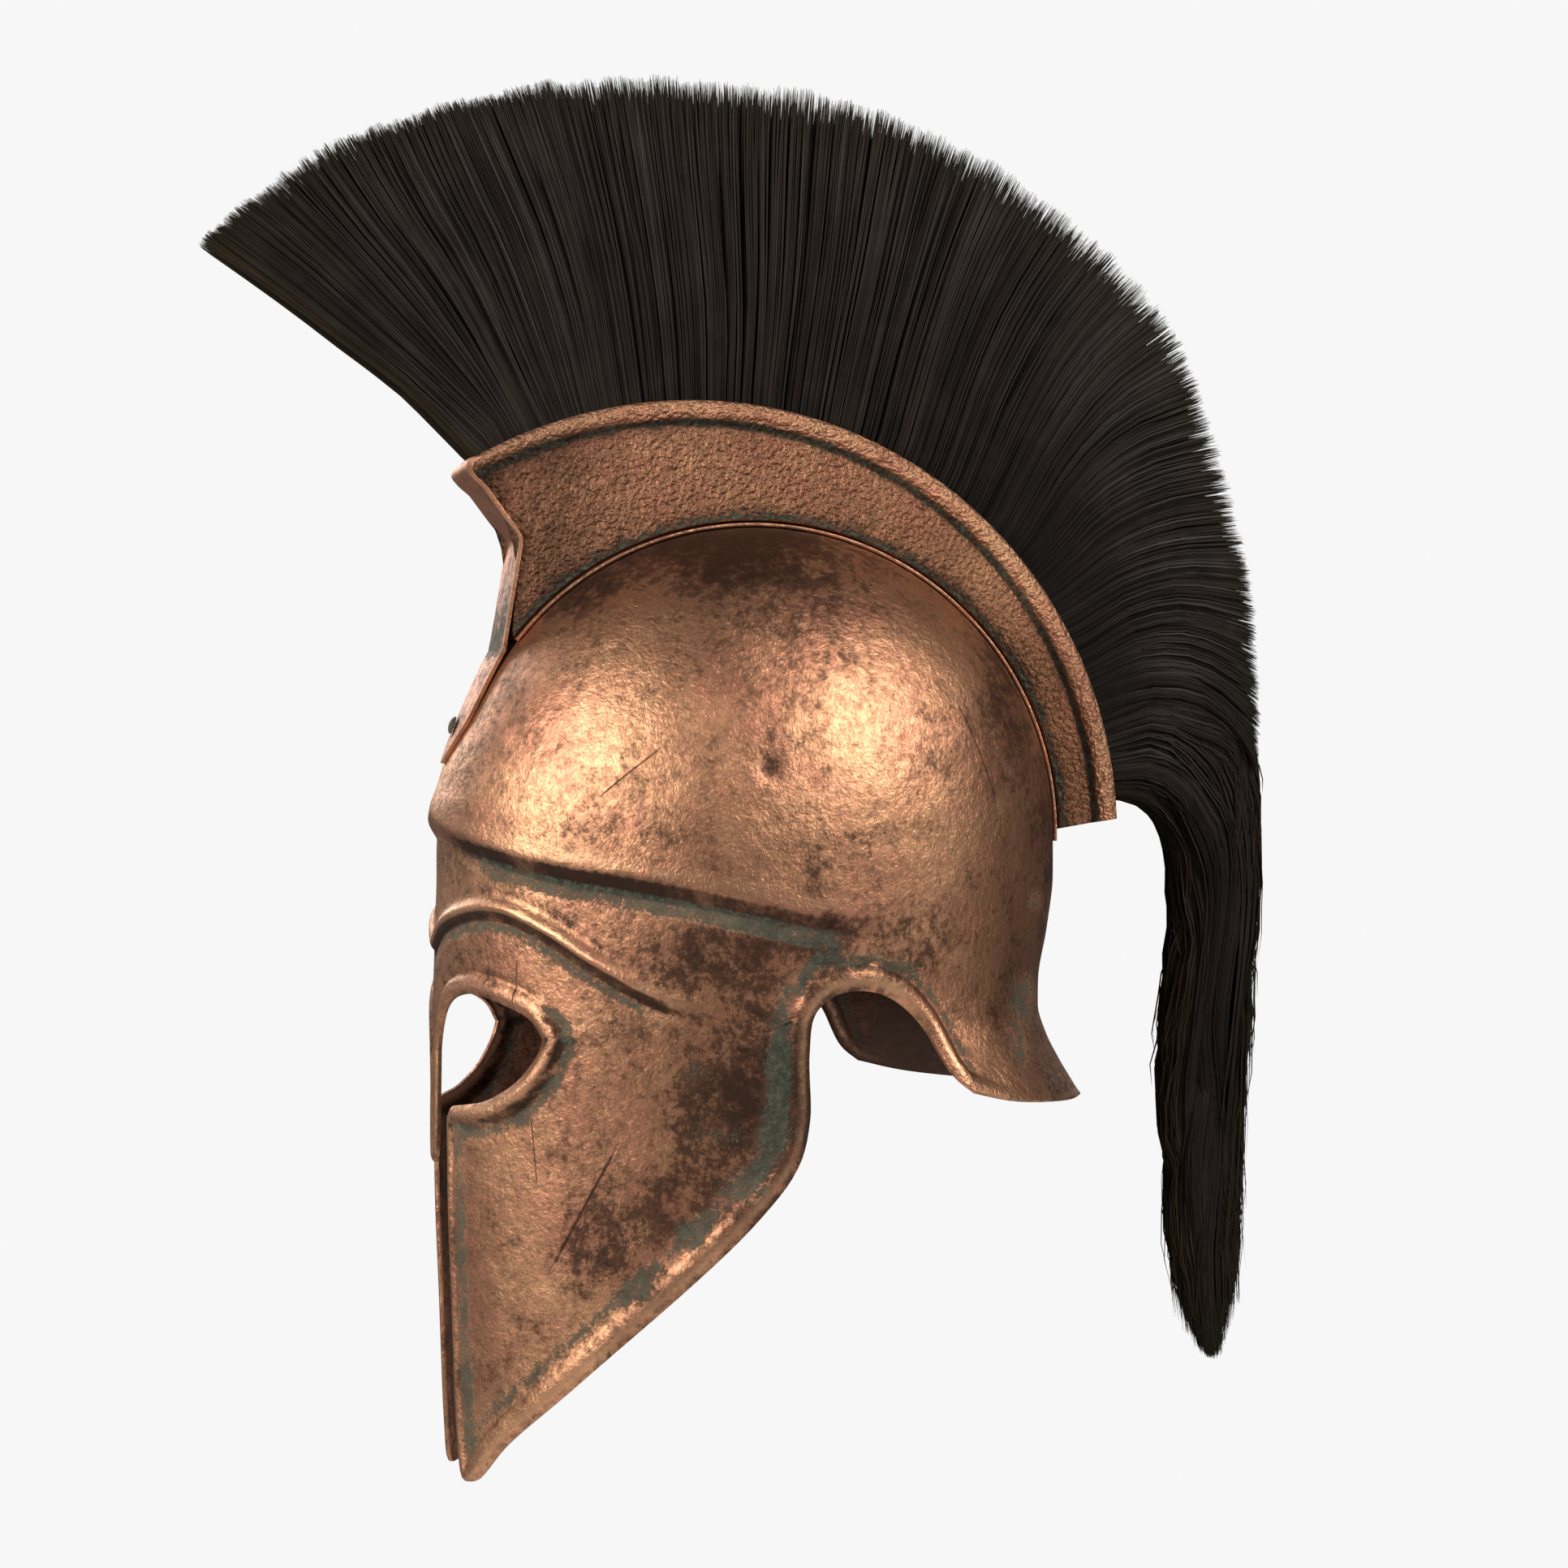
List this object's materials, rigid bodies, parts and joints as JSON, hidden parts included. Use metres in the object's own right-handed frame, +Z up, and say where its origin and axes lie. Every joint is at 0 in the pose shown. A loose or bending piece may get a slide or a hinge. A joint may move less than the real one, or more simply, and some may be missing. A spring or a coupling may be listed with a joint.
{
  "type": "corinthian helmet",
  "caption": "Ancient Greek bronze helmet with nose guard, almond eyes, long cheek guards, splayed neck guard and a tall horsehair crest with a hanging tail",
  "frame": {"origin": "inside of the crown in the middle plane, where the helmet sits on the head", "axes": "+Z up along the wearer's head, -Y the way the face looks, +X the wearer's left"},
  "size_m": [0.1976, 0.4092, 0.5227],
  "materials": {
    "shell_bronze": "hammered bronze, semi-gloss with patina",
    "saddle_bronze": "rubbed bronze strip",
    "holder_bronze": "matt grained bronze with patina",
    "strap_bronze": "dark bronze, worn edges",
    "rivet_bronze": "tarnished bronze",
    "horsehair": "coarse dark horsehair"
  },
  "bodies": {
    "root": {"helmet_shell": "shell_bronze", "crest_saddle": "saddle_bronze", "crest_holder": "holder_bronze", "crest_front_strap": "strap_bronze", "crest_rivet": "rivet_bronze", "plume": "horsehair"}
  },
  "joints": []
}
